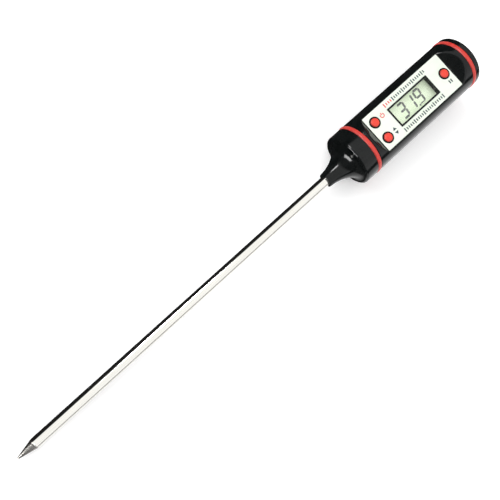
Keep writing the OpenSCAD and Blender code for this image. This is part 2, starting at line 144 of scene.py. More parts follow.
def mesh_piece(name, points, faces):
    """A clean object from points in millimetres."""
    mesh = bpy.data.meshes.new(name)
    mesh.from_pydata([Vector(p) * MM for p in points], [], faces)
    clean_mesh(mesh)
    return add_object(name, mesh)


def grown(low_high, by):
    """A range with a length added at both ends, or taken off if it is negative."""
    return low_high[0] - by, low_high[1] + by


def sweep(end, steps):
    """Angles in equal steps from 0 to an end."""
    return [end * k / steps for k in range(steps + 1)]


def soften(corners, radius, closed=True, steps=5):
    """Rounds each corner of an outline, from a radius before it to a radius after it."""
    count = len(corners)
    softened = []
    for i, corner in enumerate(corners):
        if not closed and i in (0, count - 1):
            softened.append(tuple(corner))
            continue
        here = Vector(corner)
        before = Vector(corners[i - 1]) - here
        after = Vector(corners[(i + 1) % count]) - here
        turn = math.pi - before.angle(after, math.pi)
        reach = min(radius, before.length * SOFTEN_SHARE, after.length * SOFTEN_SHARE)
        if turn < SOFTEN_FROM or reach < SHORTEST:
            softened.append(tuple(corner))
            continue
        start = here + before.normalized() * reach
        end = here + after.normalized() * reach
        for k in range(steps + 1):
            t = k / steps
            softened.append(tuple(start * (1 - t) ** 2 + here * 2 * t * (1 - t) + end * t ** 2))
    return softened


def lathe(name, profile, closed=True, sides=160):
    """A solid of revolution of (x, radius) points. An open profile starts and ends on the X axis."""
    points = []
    for x, r in profile:
        for k in range(sides):
            angle = 2 * math.pi * k / sides
            points.append((x, r * math.cos(angle), r * math.sin(angle)))
    rings = len(profile)
    faces = []
    for i in range(rings if closed else rings - 1):
        j = (i + 1) % rings
        for k in range(sides):
            n = (k + 1) % sides
            faces.append((i * sides + k, j * sides + k, j * sides + n, i * sides + n))
    return mesh_piece(name, points, faces)


def stand_up(piece, x, y):
    """Turns a piece made about the X axis so that it stands along Z at a place on the face."""
    place = Matrix.Translation(Vector((x, y, 0)) * MM) @ Matrix.Rotation(math.radians(-90), 4, "Y")
    piece.data.transform(place)
    return piece


def rectangle(x, y, radius):
    """Outline of a rounded rectangle from its ranges."""
    corners = [(x[0], y[0]), (x[1], y[0]), (x[1], y[1]), (x[0], y[1])]
    return soften(corners, radius, steps=6)


def circle(x, y, r, sides=64):
    """Outline of a circle about x, y."""
    return [(x + r * math.cos(2 * math.pi * k / sides), y + r * math.sin(2 * math.pi * k / sides))
            for k in range(sides)]


def plate(name, outlines, z, edge=0.0):
    """A flat plate with holes, from outlines in XY, between two heights. Its edges are rounded by edge."""
    curve = bpy.data.curves.new(name, "CURVE")
    curve.dimensions = "2D"
    curve.fill_mode = "BOTH"
    curve.extrude = max((z[1] - z[0]) / 2 - edge, 0) * MM
    curve.bevel_depth = edge * MM
    curve.bevel_resolution = 3
    curve.offset = -edge * MM
    for outline in outlines:
        spline = curve.splines.new("POLY")
        spline.points.add(len(outline) - 1)
        for point, (x, y) in zip(spline.points, outline):
            point.co = (x * MM, y * MM, 0, 1)
        spline.use_cyclic_u = True
    maker = add_object(name + "_outline", curve)
    mesh = final_mesh(maker)
    bpy.data.objects.remove(maker)
    bpy.data.curves.remove(curve)
    mesh.name = name
    mesh.transform(Matrix.Translation((0, 0, (z[0] + z[1]) / 2 * MM)))
    clean_mesh(mesh)
    return add_object(name, mesh)


def cut(piece, cutter, operation="DIFFERENCE"):
    """Applies a boolean and removes its tool."""
    modifier = piece.modifiers.new("cut", "BOOLEAN")
    modifier.operation = operation
    modifier.solver = "EXACT"
    modifier.object = cutter
    mesh = final_mesh(piece)
    piece.modifiers.clear()
    old = piece.data
    piece.data = mesh
    mesh.name = piece.name
    bpy.data.meshes.remove(old)
    bpy.data.objects.remove(cutter)
    clean_mesh(mesh)


def join(name, pieces):
    """One object from several, which are removed."""
    work = bmesh.new()
    for piece in pieces:
        work.from_mesh(piece.data)
    mesh = bpy.data.meshes.new(name)
    work.to_mesh(mesh)
    work.free()
    for piece in pieces:
        bpy.data.objects.remove(piece)
    smooth(mesh)
    return add_object(name, mesh)


def thread_ridge(name, x0, turns, root, crest):
    """A screw thread's ridge about the X axis, which fades in and out at its ends."""
    steps = round(turns * 48)
    fade = 1 / 6                # turns that the ridge takes to reach its full height
    lowest = 0.2                # share of its height at the very ends
    buried = 0.3 if crest > root else -0.3
    feet = root - buried
    points = []
    for i in range(steps + 1):
        t = i / steps
        rise = lowest + (1 - lowest) * min(1, t * turns / fade, (1 - t) * turns / fade)
        top = root + (crest - root) * rise
        angle = 2 * math.pi * turns * t
        for dx, r in ((-THREAD_FOOT, feet), (THREAD_FOOT, feet), (THREAD_TOP, top), (-THREAD_TOP, top)):
            points.append((x0 + THREAD_PITCH * turns * t + dx, r * math.cos(angle), r * math.sin(angle)))
    faces = [(0, 1, 2, 3), tuple(steps * 4 + k for k in (3, 2, 1, 0))]
    for i in range(steps):
        for k in range(4):
            n = (k + 1) % 4
            faces.append((i * 4 + k, (i + 1) * 4 + k, (i + 1) * 4 + n, i * 4 + n))
    return mesh_piece(name, points, faces)


# ---- materials ----

def set_range(node, low, high, out_low, out_high):
    """Fills in the four ends of a Map Range node."""
    ends = {"From Min": low, "From Max": high, "To Min": out_low, "To Max": out_high}
    for name, number in ends.items():
        node.inputs[name].default_value = number


NOISE_SPAN = (0.3, 0.7)         # where most of a noise's values lie


class Nodes:
    """A short way to write a material's node tree."""

    def __init__(self, name):
        """Starts a material with its shader and its object coordinates."""
        self.material = bpy.data.materials.new(name)
        self.material.use_nodes = True
        self.tree = self.material.node_tree
        self.shader = self.tree.nodes["Principled BSDF"]
        self.coordinates = self.tree.nodes.new("ShaderNodeTexCoord").outputs["Object"]

    def set(self, **values):
        """Sets the shader's own numbers and colours by their names."""
        for name, value in values.items():
            self.shader.inputs[name.replace("_", " ")].default_value = value

    def link(self, output, target):
        """Feeds the shader's input of that name."""
        self.tree.links.new(output, self.shader.inputs[target])

    def stretched(self, scale):
        """Object coordinates in millimetres, times a scale on each axis."""
        mapping = self.tree.nodes.new("ShaderNodeMapping")
        mapping.inputs["Scale"].default_value = [s / MM for s in scale]
        self.tree.links.new(self.coordinates, mapping.inputs["Vector"])
        return mapping.outputs["Vector"]

    def noise(self, scale, detail, roughness=0.5):
        """A noise with so many features per millimetre, as one number or as one for each axis."""
        if not isinstance(scale, tuple):
            scale = (scale, scale, scale)
        node = self.tree.nodes.new("ShaderNodeTexNoise")
        node.inputs["Scale"].default_value = 1
        node.inputs["Detail"].default_value = detail
        node.inputs["Roughness"].default_value = roughness
        self.tree.links.new(self.stretched(scale), node.inputs["Vector"])
        return node.outputs["Fac"]

    def band(self, value, low, high, out_low=0.0, out_high=1.0):
        """Maps a range of a value to another range."""
        node = self.tree.nodes.new("ShaderNodeMapRange")
        set_range(node, low, high, out_low, out_high)
        self.tree.links.new(value, node.inputs["Value"])
        return node.outputs["Result"]

    def blend(self, factor, first, second):
        """Mixes two colours by a factor."""
        node = self.tree.nodes.new("ShaderNodeMix")
        node.data_type = "RGBA"
        self.tree.links.new(factor, node.inputs["Factor"])
        for name, colour in (("A", first), ("B", second)):
            socket = [s for s in node.inputs if s.name == name and s.type == "RGBA"][0]
            socket.default_value = (*colour, 1)
        return [s for s in node.outputs if s.type == "RGBA"][0]

    def tint(self, noise, first, second):
        """Varies the colour between two tones by a noise."""
        self.link(self.blend(self.band(noise, *NOISE_SPAN), first, second), "Base Color")

    def roughen(self, noise, least, most):
        """Varies the roughness between two values by a noise."""
        self.link(self.band(noise, *NOISE_SPAN, least, most), "Roughness")

    def bump(self, height, strength, distance):
        """Adds relief, with the distance in millimetres."""
        node = self.tree.nodes.new("ShaderNodeBump")
        node.inputs["Strength"].default_value = strength
        node.inputs["Distance"].default_value = distance * MM
        self.tree.links.new(height, node.inputs["Height"])
        self.link(node.outputs["Normal"], "Normal")


def gloss_plastic(name, dark, light, rough=(0.08, 0.18)):
    """Glossy moulded plastic: a slight flow mottle, handling marks in its gloss, and a faint orange peel."""
    m = Nodes(name)
    m.set(IOR=1.5, Specular_IOR_Level=0.2)
    m.tint(m.noise((0.25, 0.5, 0.5), 4), dark, light)
    smudges = m.noise((0.12, 0.3, 0.3), 6, 0.65)
    m.link(m.band(smudges, 0.35, 0.75, *rough), "Roughness")
    m.bump(m.noise(1.6, 2), 0.25, 0.003)
    return m.material


def polished_steel():
    """Drawn and polished stainless tube: fine lines along it, and faint clouding in its shine."""
    m = Nodes("polished_steel")
    m.set(Metallic=1.0)
    lines = m.noise((0.06, 9, 9), 4, 0.7)
    clouds = m.noise((0.05, 0.4, 0.4), 3)
    m.tint(lines, (0.60, 0.59, 0.55), (0.72, 0.71, 0.67))
    m.link(m.band(clouds, 0.35, 0.7, 0.08, 0.17), "Roughness")
    m.bump(lines, 0.12, 0.006)
    return m.material


def ground_steel():
    """The ground point: rings of fine grinding marks round it."""
    m = Nodes("ground_steel")
    m.set(Metallic=1.0)
    marks = m.noise((7, 0.3, 0.3), 4, 0.6)
    m.tint(marks, (0.30, 0.29, 0.27), (0.46, 0.445, 0.42))
    m.roughen(marks, 0.16, 0.28)
    m.bump(marks, 0.25, 0.01)
    return m.material


def silicone(name, deep, bright, roughness=(0.34, 0.5)):
    """Satin silicone rubber: a soft sheen, uneven tones and a fine texture from the mould."""
    m = Nodes(name)
    m.set(Sheen_Weight=0.12, Sheen_Roughness=0.5, Specular_IOR_Level=0.45)
    m.tint(m.noise(0.8, 3), deep, bright)
    m.roughen(m.noise(2, 4), *roughness)
    m.bump(m.noise(9, 3), 0.3, 0.012)
    return m.material


def label_film():
    """Printed polycarbonate film: near-white, satin, with a very fine grain."""
    m = Nodes("label_film")
    m.set(Specular_IOR_Level=0.4)
    m.tint(m.noise((0.15, 0.3, 0.3), 3), (0.74, 0.80, 0.70), (0.79, 0.85, 0.75))
    m.roughen(m.noise(3, 4), 0.38, 0.5)
    m.bump(m.noise(14, 2), 0.2, 0.006)
    return m.material


def ink(name, thin, full):
    """Screen-printed ink, a little uneven in its cover."""
    m = Nodes(name)
    m.link(m.blend(m.band(m.noise(5, 4), 0.3, 0.65), full, thin), "Base Color")
    m.roughen(m.noise(8, 2), 0.4, 0.55)
    return m.material


def clear(name, tint, cloudy):
    """Thin clear plastic or glass: it lets light through without bending it, and keeps its reflections."""
    m = Nodes(name)
    m.set(Alpha=cloudy, Specular_IOR_Level=0.5)
    m.tint(m.noise(0.3, 3), tint, tuple(c * 0.96 for c in tint))
    m.link(m.band(m.noise(0.5, 5, 0.7), 0.4, 0.75, 0.02, 0.06), "Roughness")
    return m.material


def lcd_painted_glow():
    """The display's back: pale green film with a fine grain, and a painted glow from a faint emission in its
    own tone.
    """
    m = Nodes("lcd_background_painted_glow")
    # The emission strength is painted light: the display's back shines in its own tone, though it is no lamp.
    m.set(Specular_IOR_Level=0.35, Emission_Strength=0.3)
    clouds = m.band(m.noise((0.12, 0.2, 0.2), 2), *NOISE_SPAN)
    tone = m.blend(clouds, (0.78, 0.92, 0.64), (0.86, 0.96, 0.74))
    m.link(tone, "Base Color")
    m.link(tone, "Emission Color")
    m.roughen(m.noise(6, 3), 0.4, 0.6)
    m.bump(m.noise(20, 2), 0.15, 0.004)
    return m.material


def matte(name, first, second, scale=1.5, roughness=(0.45, 0.65), relief=0.01, metallic=0.0):
    """Moulded, coated or plated stuff for the inner parts: two tones, a varied gloss and relief."""
    m = Nodes(name)
    m.set(Metallic=metallic)
    m.tint(m.noise(scale, 4), first, second)
    m.roughen(m.noise(scale * 2, 3), *roughness)
    m.bump(m.noise(scale * 5, 2), 0.25, relief)
    return m.material


def zebra_rubber():
    """Silicone strip with the thin conducting layers that give it its name."""
    m = Nodes("zebra_rubber")
    layers = m.tree.nodes.new("ShaderNodeTexWave")
    layers.inputs["Scale"].default_value = 1.2
    layers.inputs["Distortion"].default_value = 0.4
    m.tree.links.new(m.stretched((1, 1, 1)), layers.inputs["Vector"])
    carbon = m.band(layers.outputs["Fac"], 0.55, 0.75)
    m.link(m.blend(carbon, (0.72, 0.42, 0.46), (0.03, 0.03, 0.03)), "Base Color")
    m.set(Roughness=0.55)
    return m.material


def circuit_mask():
    """Green solder mask, with the copper tracks' ridges showing through it."""
    m = Nodes("solder_mask")
    tracks = m.tree.nodes.new("ShaderNodeTexVoronoi")
    tracks.distance = "CHEBYCHEV"
    tracks.feature = "DISTANCE_TO_EDGE"
    tracks.inputs["Scale"].default_value = 1
    m.tree.links.new(m.stretched((0.35, 0.6, 0.6)), tracks.inputs["Vector"])
    edge = m.band(tracks.outputs["Distance"], 0.04, 0.07)
    m.link(m.blend(edge, (0.08, 0.36, 0.16), (0.03, 0.2, 0.09)), "Base Color")
    m.roughen(m.noise(2, 3), 0.25, 0.4)
    m.bump(edge, 0.4, 0.02)
    return m.material


# ---- pieces ----

def settle(piece, body, material, slot, *nodes):
    """Gives a piece its material and body, and hides the CAD nodes that it stands for. Its slot is not used.
    """
    piece.data.materials.clear()
    piece.data.materials.append(material)
    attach(piece, body)
    if nodes:
        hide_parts(*nodes)


def make_tube(steel):
    """The probe's tube, with its end in the nose rolled down."""
    end = span("probe_tube", X)[1]
    bore = PROBE_R - TUBE_WALL
    rolled = PROBE_R - NECK_IN
    rolled_bore = rolled - TUBE_WALL
    outside = [(SHOULDER_X, PROBE_R), (ROLL_X[0], PROBE_R), (ROLL_X[1], rolled), (end, rolled)]
    inside = [(end, rolled_bore), (ROLL_X[1], rolled_bore), (ROLL_X[0], bore)]
    edge = 0.08
    tube = lathe("probe_tube_shell", soften([(SHOULDER_X, bore)] + outside + inside, edge))
    settle(tube, "handle", steel, "polished_steel", "probe_tube")


def make_point(ground):
    """The ground point, with a fine groove along the weld and a spigot inside the tube."""
    blunt = 0.35                # radius of the very point
    lean = math.atan((PROBE_R - blunt) / (SHOULDER_X - TIP_X))
    nose = [(TIP_X + blunt - blunt * math.cos(a), blunt * math.sin(a))
            for a in sweep(math.pi / 2 - lean, 10)]
    nose[0] = (TIP_X, 0)
    groove = [(SHOULDER_X - 0.16, PROBE_R - 0.03), (SHOULDER_X - 0.02, PROBE_R - 0.12)]
    spigot_r = PROBE_R - TUBE_WALL - GAP
    spigot_end = SHOULDER_X + 2
    spigot = [(SHOULDER_X, spigot_r), (spigot_end, spigot_r), (spigot_end, 0)]
    edge = 0.06
    shoulder = soften([nose[-1]] + groove + spigot, edge, closed=False)
    point = lathe("probe_point", nose[:-1] + shoulder, closed=False)
    settle(point, "handle", ground, "polished_steel", "probe_tip")


def make_nose(black):
    """The bell that runs out from the neck to a rounded shoulder, a band and the seal ring's seat."""
    neck_r = 2.85
    bell_length = 11.4          # from the neck to the shoulder's face
    lean = 0.06                 # slope of the bell's straight part
    shoulder = 1.1              # radius of the rounded shoulder
    rise = BODY_R - shoulder - neck_r - lean * bell_length
    steps = 40
    neck_steps = 4              # the first steps of the bell, which the neck's rounding takes up
    bell = []
    for i in range(1, steps + 1):
        x = bell_length * math.sin(math.pi / 2 * i / steps)
        bell.append((x, neck_r + lean * x + rise * (1 - math.sqrt(max(0, 1 - (x / bell_length) ** 2)))))
    arc = [(bell_length + shoulder - shoulder * math.cos(a), BODY_R - shoulder + shoulder * math.sin(a))
           for a in sweep(math.pi / 2, 12)[1:]]
    neck_x, spigot_end = span("nose_cone", X)
    bore = PROBE_R + GAP / 2
    neck = soften([(neck_x, bore), (neck_x, neck_r), bell[neck_steps]], 0.22, closed=False)
    outside = [(neck_x, bore)] + neck[1:-1] + bell[neck_steps:] + arc
    seat_x = NOSE_RING[0] - GAP
    seat_end = BARREL[0] - GAP
    fit = 0.1                   # room between the spigot and the barrel
    spigot_r = CAVITY_R - fit
    seat = [(seat_x, BODY_R), (seat_x, SEAT_R), (seat_end, SEAT_R), (seat_end, spigot_r),
            (spigot_end, spigot_r)]
    edge = 0.12
    inside = soften([arc[-1]] + seat + nose_pocket(spigot_end, bore - NECK_IN), edge, closed=False)
    nose = lathe("nose_bell", outside + inside[1:], sides=192)
    past = 12                   # wider and higher than the handle
    trim = rectangle((seat_end + 0.01, spigot_end + CUT_PAST), (-past, past), 0.3)
    cut(nose, plate("trim", [trim], (CEILING_Z - fit, past)))
    settle(nose, "handle", black, "gloss_black", "nose_cone")


def nose_pocket(spigot_end, bore):
    """The nose's inside, from the battery side: the hollow, the ferrule's flange and body, and the tube."""
    hollow_r = 8
    hollow_x = span("probe_tube", X)[1]
    ferrule_x = 7.5
    ferrule_r = 3 + GAP
    flange_x = hollow_x - 0.8
    flange_r = ferrule_r + 1
    return [(spigot_end, hollow_r), (hollow_x, hollow_r), (hollow_x, flange_r), (flange_x, flange_r),
            (flange_x, ferrule_r), (ferrule_x, ferrule_r), (ferrule_x, bore), (ROLL_X[1], bore)]


def make_ring(name, node, body, x, red):
    """A seal ring with a crowned outside."""
    inner = SEAT_R + GAP
    rounding = [(0, 0.45), (0.18, 0.16), (0.45, 0.02)]          # in from a side, and down from the crown
    first = [(x[0] + inward, RING_R - down) for inward, down in rounding]
    second = [(x[1] - inward, RING_R - down) for inward, down in reversed(rounding)]
    crown = [((x[0] + x[1]) / 2, RING_R)]
    outline = [(x[0], inner)] + first + crown + second + [(x[1], inner)]
    ring = lathe(name, soften(outline, 0.12), sides=192)
    settle(ring, body, red, "red_seal", node)


def soft_lower(a, b, reach):
    """The lower of two values, with the change from one to the other rounded over a reach."""
    near = max(reach - abs(a - b), 0) / reach
    return min(a, b) - near * near * reach / 4


NOSE_SLOPE = 3.2                # length of the face's slope towards the nose
CAP_SLOPE = 4.5                 # length of its slope towards the cap
SIDEWAYS = 0.1                  # directions whose cosine is under this miss the flat face


def face_height(x):
    """Height of the milled face along the barrel: level under the label, with a slope up to each end."""
    nose_grade = (BODY_R - FACE_Z) / NOSE_SLOPE
    cap_grade = (BODY_R - FACE_Z) / CAP_SLOPE
    return FACE_Z + max(0, (FLAT_X[0] - x) * nose_grade, (x - FLAT_X[1]) * cap_grade)


def skin_radius(x, angle):
    """Distance from the axis to the barrel's skin. The angle is measured from +Z."""
    edge = 0.3                  # rounding at the barrel's two ends
    crease = 0.55               # softening where the face meets the round part
    upright = math.cos(angle)
    r = BODY_R if upright < SIDEWAYS else soft_lower(BODY_R, face_height(x) / upright, crease)
    inset = max(edge - (x - BARREL[0]), edge - (BARREL[1] - x), 0) / edge
    return r - edge * (1 - math.sqrt(max(0, 1 - inset * inset)))


def barrel_stations():
    """Places along the barrel for the skin's rings: close at the ends and slopes, wide between them."""
    start, end = FLAT_X
    ends = [0, 0.02, 0.06, 0.12, 0.2, 0.3]
    stations = [BARREL[0] + e for e in ends] + [BARREL[1] - e for e in ends]
    past_end = 0.45             # where the slopes' own rings start
    close = 0.14
    wide = 1.6
    for low, high, step in ((BARREL[0] + past_end, start + 0.2, close), (start + 0.5, end - 0.4, wide),
                            (end - 0.2, BARREL[1] - past_end, close)):
        count = round((high - low) / step)
        stations += [low + (high - low) * k / count for k in range(count + 1)]
    return sorted(stations)


def cavity_radius(x, angle):
    """Distance from the axis to the inside of the barrel's electronics bay, which has a flat ceiling."""
    upright = math.cos(angle)
    return CAVITY_R if upright < SIDEWAYS else min(CAVITY_R, CEILING_Z / upright)


def thread_radius(x, angle):
    """Distance from the axis to the round bore that the cap screws into."""
    return FEMALE_ROOT_R


def barrel_skin():
    """The barrel's outside and inside as one closed shell, with no openings in it yet."""
    face = math.radians(54)     # half the angle that the face takes up, where the steps are fine
    face_steps = 216
    back_steps = 96
    angles = [-face + 2 * face * k / face_steps for k in range(face_steps)]
    angles += [face + (2 * math.pi - 2 * face) * k / back_steps for k in range(back_steps)]
    wall_end = span("chassis", X)[1]
    rings = [(x, skin_radius) for x in barrel_stations()]
    rings += [(BARREL[1], thread_radius), (wall_end, thread_radius), (wall_end, cavity_radius),
              (BARREL[0], cavity_radius)]
    points = []
    for x, radius in rings:
        for angle in angles:
            r = radius(x, angle)
            points.append((x, -r * math.sin(angle), r * math.cos(angle)))
    count = len(rings)
    n = len(angles)
    faces = [(i * n + k, i * n + (k + 1) % n, (i + 1) % count * n + (k + 1) % n, (i + 1) % count * n + k)
             for i in range(count) for k in range(n)]
    return mesh_piece("barrel_shell", points, faces)


def make_collar(x, y):
    """The raised ring round a button's hole."""
    low = FACE_Z - 0.25
    top = FACE_Z + 0.14
    outer = COLLAR_R - 0.01
    profile = [(low, HOLE_R), (low, outer), (top, outer), (top, HOLE_R)]
    edge = 0.12
    return stand_up(lathe("collar", soften(profile, edge), sides=64), x, y)


def make_barrel(black):
    """The barrel, cut for the label, the display and the buttons, with its collars and thread."""
    barrel = barrel_skin()
    over_face = FACE_Z + CUT_PAST
    under_ceiling = CEILING_Z - CUT_PAST
    recess = rectangle(grown(LABEL_X, LABEL_GAP), grown(LABEL_Y, LABEL_GAP), 0.5)
    islands = [circle(x, y, COLLAR_R) for x, y in BUTTONS.values()]
    cut(barrel, plate("recess_tool", [recess] + islands, (RECESS_Z, over_face)))
    opening = rectangle(grown(BEZEL_X, GAP), grown(BEZEL_Y, GAP), 0.12)
    cut(barrel, plate("opening_tool", [opening], (under_ceiling, over_face)))
    for x, y in BUTTONS.values():
        cut(barrel, plate("hole_tool", [circle(x, y, HOLE_R)], (under_ceiling, over_face)))
    collars = [make_collar(x, y) for x, y in BUTTONS.values()]
    turns = 1.4
    thread = thread_ridge("thread", CAP[0] + THREAD_FOOT - THREAD_PITCH / 2, turns,
                          FEMALE_ROOT_R, FEMALE_ROOT_R - THREAD_CREST)
    whole = join("barrel_shell", [barrel, thread] + collars)
    settle(whole, "handle", black, "gloss_black", "barrel")


def make_cap(black):
    """The battery cap: a flange with a coin slot, the ring's seat, and a hollow plug with its thread."""
    seat_x = BARREL[1] + GAP
    flange_x = CAP_RING[1] + GAP
    plug_x, end_x = CAP
    cup_x = span("battery", X)[1] + 0.05
    cup_r = span("battery", Y)[1] + 0.15
    outline = [(plug_x, cup_r), (plug_x, MALE_ROOT_R), (seat_x, MALE_ROOT_R), (seat_x, SEAT_R),
               (flange_x, SEAT_R), (flange_x, BODY_R)]
    edge = 0.95                 # rounding of the cap's outer end
    arc = [(end_x - edge + edge * math.sin(a), BODY_R - edge + edge * math.cos(a))
           for a in sweep(math.pi / 2, 10)]
    body = soften(outline + [arc[0]], 0.15, closed=False)
    profile = [(cup_x, 0), (cup_x, cup_r)] + body + arc[1:] + [(end_x, 0)]
    cap = lathe("cap_shell", profile, closed=False, sides=192)
    slot_depth = 1.2
    slot_half = 7.5             # half the coin slot's length
    slot_side = 0.9             # half its width
    slot = rectangle((end_x - slot_depth, end_x + CUT_PAST), (-slot_half, slot_half), 0.4)
    cut(cap, plate("slot_tool", [slot], (-slot_side, slot_side)))
    turns = 1
    thread = thread_ridge("thread", plug_x + THREAD_FOOT, turns, MALE_ROOT_R, MALE_ROOT_R + THREAD_CREST)
    settle(join("cap_shell", [cap, thread]), "battery_cap", black, "gloss_black", "battery_cap")


def make_button(name, red):
    """A rubber key with a softly domed top, over a flange that keeps it behind the wall."""
    x, y = BUTTONS[name]
    low = span(name, Z)[0]
    flange_r = span(name, X)[1] - x
    flange_top = CEILING_Z - 0.05
    crown = 0.42                # height of the dome
    fullness = 0.7              # 1 would make the dome an ellipse, and less makes it flatter on top
    dome = [(BUTTON_TOP - crown + crown * math.sin(a), BUTTON_R * math.cos(a) ** fullness)
            for a in sweep(math.pi / 2, 14)[:-1]]
    corners = [(low, 0), (low, flange_r), (flange_top, flange_r), (flange_top, BUTTON_R), dome[0]]
    edge = 0.1
    side = soften(corners, edge, closed=False)[:-1]
    key = lathe(name + "_key", side + dome + [(BUTTON_TOP, 0)], closed=False, sides=96)
    stand_up(key, x, y)
    settle(key, name, red, "button_red", name)


def make_label(film):
    """The white label, with its holes for the display and the buttons."""
    display = rectangle(grown(BEZEL_X, LABEL_GAP), grown(BEZEL_Y, LABEL_GAP), 0.12)
    outlines = [rectangle(LABEL_X, LABEL_Y, 0.45), display]
    outlines += [circle(x, y, COLLAR_R + LABEL_GAP) for x, y in BUTTONS.values()]
    label = plate("label_plate", outlines, (RECESS_Z + 0.01, FACE_Z), edge=0.05)
    settle(label, "handle", film, "label_white", "face_label")


def make_bezel(black):
    """The display's black rim."""
    outer = rectangle(BEZEL_X, BEZEL_Y, 0.15)
    inner = rectangle(grown(BEZEL_X, -BEZEL_RIM), grown(BEZEL_Y, -BEZEL_RIM), 0.2)
    bezel = plate("bezel_frame", [outer, inner], (CEILING_Z, BEZEL_TOP), edge=0.1)
    settle(bezel, "handle", black, "bezel_black", "display_bezel")


def make_window(glass):
    """The clear window that fills the bezel from below, over its wider flange."""
    low, top = span("display_window", Z)
    flange = rectangle(span("display_window", X), span("display_window", Y), 0.5)
    window = plate("window_pane", [flange], (low, CEILING_Z - 0.06), edge=0.04)
    inset = -BEZEL_RIM - GAP
    boss = rectangle(grown(BEZEL_X, inset), grown(BEZEL_Y, inset), 0.2)
    cut(window, plate("boss", [boss], (low + 0.1, top)), "UNION")
    settle(window, "handle", glass, "clear_window", "display_window")


# Which strokes of a seven-stroke figure are lit, in this order: top, upper left, upper right, middle,
# lower left, lower right, bottom
LIT = {"3": (1, 0, 1, 1, 0, 1, 1), "1": (0, 0, 1, 0, 0, 1, 0), "9": (1, 1, 1, 1, 0, 1, 1)}
FIGURE_HEIGHT = 6.5
FIGURE_WIDTH = 3.6
FIGURE_STEP = 4.35              # from one figure to the next
STROKE = 0.86                   # width of a stroke
STROKE_GAP = 0.05               # between a stroke's end and its corner of the figure
FIGURE_LEAN = math.tan(math.radians(8))


def bar(start, end, thick):
    """Outline of a display stroke: a bar with pointed ends."""
    a = Vector(start)
    b = Vector(end)
    along = (b - a).normalized()
    across = Vector((-along.y, along.x)) * thick / 2
    tip = along * thick / 2
    return [a, a + tip + across, b - tip + across, b, b - tip - across, a + tip - across]


def figure(x, y, lit):
    """Outlines of one leaning figure whose lower left corner is at x, y."""
    w, h = FIGURE_WIDTH - STROKE, FIGURE_HEIGHT - STROKE
    corners = [(0, h), (w, h), (0, h / 2), (w, h / 2), (0, 0), (w, 0)]
    strokes = [(0, 1), (2, 0), (3, 1), (2, 3), (4, 2), (5, 3), (4, 5)]
    outlines = []
    for (i, j), on in zip(strokes, lit):
        if not on:
            continue
        a, b = Vector(corners[i]), Vector(corners[j])
        inset = (b - a).normalized() * STROKE_GAP
        outline = bar(a + inset, b - inset, STROKE)
        outlines.append([(x + STROKE / 2 + p.x + (p.y + y) * FIGURE_LEAN, y + STROKE / 2 + p.y)
                         for p in outline])
    return outlines


def make_figures(dark):
    """The reading on the display, in the layer between its two glasses."""
    glass_z = span("lcd_front_glass", Z)[0]
    middle = (BEZEL_X[0] + BEZEL_X[1]) / 2
    start = middle - 5.7
    low = -FIGURE_HEIGHT / 2
    outlines = []
    for k, name in enumerate("319"):
        outlines += figure(start + FIGURE_STEP * k, low, LIT[name])
    point_x = middle + 2.85
    point_r = 0.36
    outlines.append(circle(point_x, low + 0.4, point_r, sides=24))
    digits = plate("display_figures", outlines, (glass_z - 0.06, glass_z - 0.02))
    settle(digits, "handle", dark, "bezel_black")


TICK = 0.25                     # half the width of a scale mark
TICK_STEP = 1.05                # from one scale mark to the next, about
TALL_TICK = 0.85                # half the height of every fifth mark
SHORT_TICK = TALL_TICK / 1.6    # half the height of the others


def tick_row(x0, x1, y):
    """Outlines of a row of scale marks, with a taller one at every fifth place."""
    count = round((x1 - x0) / TICK_STEP)
    row = []
    for k in range(count + 1):
        x = x0 + (x1 - x0) * k / count
        half = TALL_TICK if k % 5 == 0 else SHORT_TICK
        row.append([(x - TICK, y - half), (x + TICK, y - half), (x + TICK, y + half), (x - TICK, y + half)])
    return row


def ring_arc(x, y, r, thick, start, end):
    """Outline of a part of a ring between two angles in degrees."""
    angles = [math.radians(start + degrees) for degrees in sweep(end - start, 20)]
    outer_r = r + thick / 2
    inner_r = r - thick / 2
    outer = [(x + outer_r * math.cos(a), y + outer_r * math.sin(a)) for a in angles]
    inner = [(x + inner_r * math.cos(a), y + inner_r * math.sin(a)) for a in reversed(angles)]
    return outer + inner


SIGN_X = 4.1                    # from a button to the sign towards the cap from it


def power_sign():
    """A broken ring with a bar in its gap."""
    x = BUTTONS["power_button"][0] + SIGN_X
    y = BUTTONS["power_button"][1] + 0.2
    thick = 0.36
    ring = ring_arc(x, y, 0.8, thick, -235, 55)
    stem = rectangle((x - thick / 2, x + thick / 2), (y + 0.1, y + 1.2), 0.05)
    return [ring, stem]


def unit_sign():
    """Two triangles that point away from each other."""
    x = BUTTONS["unit_button"][0] + SIGN_X
    y = BUTTONS["unit_button"][1]
    half = 0.85
    near = 0.35
    far = 1.55
    return [[(x, y + side * far), (x - half, y + side * near), (x + half, y + side * near)]
            for side in (1, -1)]


def hold_sign():
    """Two bars on the -Y side of the button."""
    x, y = BUTTONS["hold_button"]
    width = 0.55
    step = 1.0
    starts = [x - 0.8 + step * k for k in range(2)]
    return [rectangle((start, start + width), (y - 4.5, y - 3.1), 0.05) for start in starts]


def print_marks(name, outlines, material):
    """A layer of ink on the label."""
    marks = plate(name, outlines, (FACE_Z + 0.002, FACE_Z + 0.014))
    settle(marks, "handle", material, "label_white")


def make_prints(red, dark):
    """Plain marks in place of the lettering: two scales, and a sign beside each button."""
    row_y = BEZEL_HALF + (LABEL_HALF - BEZEL_HALF) / 2
    start = BEZEL_X[0] + 0.3
    end = BEZEL_X[1] + 0.4
    dark_start = start + 4.4    # the upper scale is red before this
    red_scale = tick_row(start, dark_start - TICK_STEP, row_y)
    print_marks("label_marks_red", red_scale + power_sign(), red)
    dark_scales = tick_row(dark_start, end, row_y) + tick_row(start - 0.1, end - 0.5, -row_y)
    print_marks("label_marks_dark", dark_scales + unit_sign() + hold_sign(), dark)


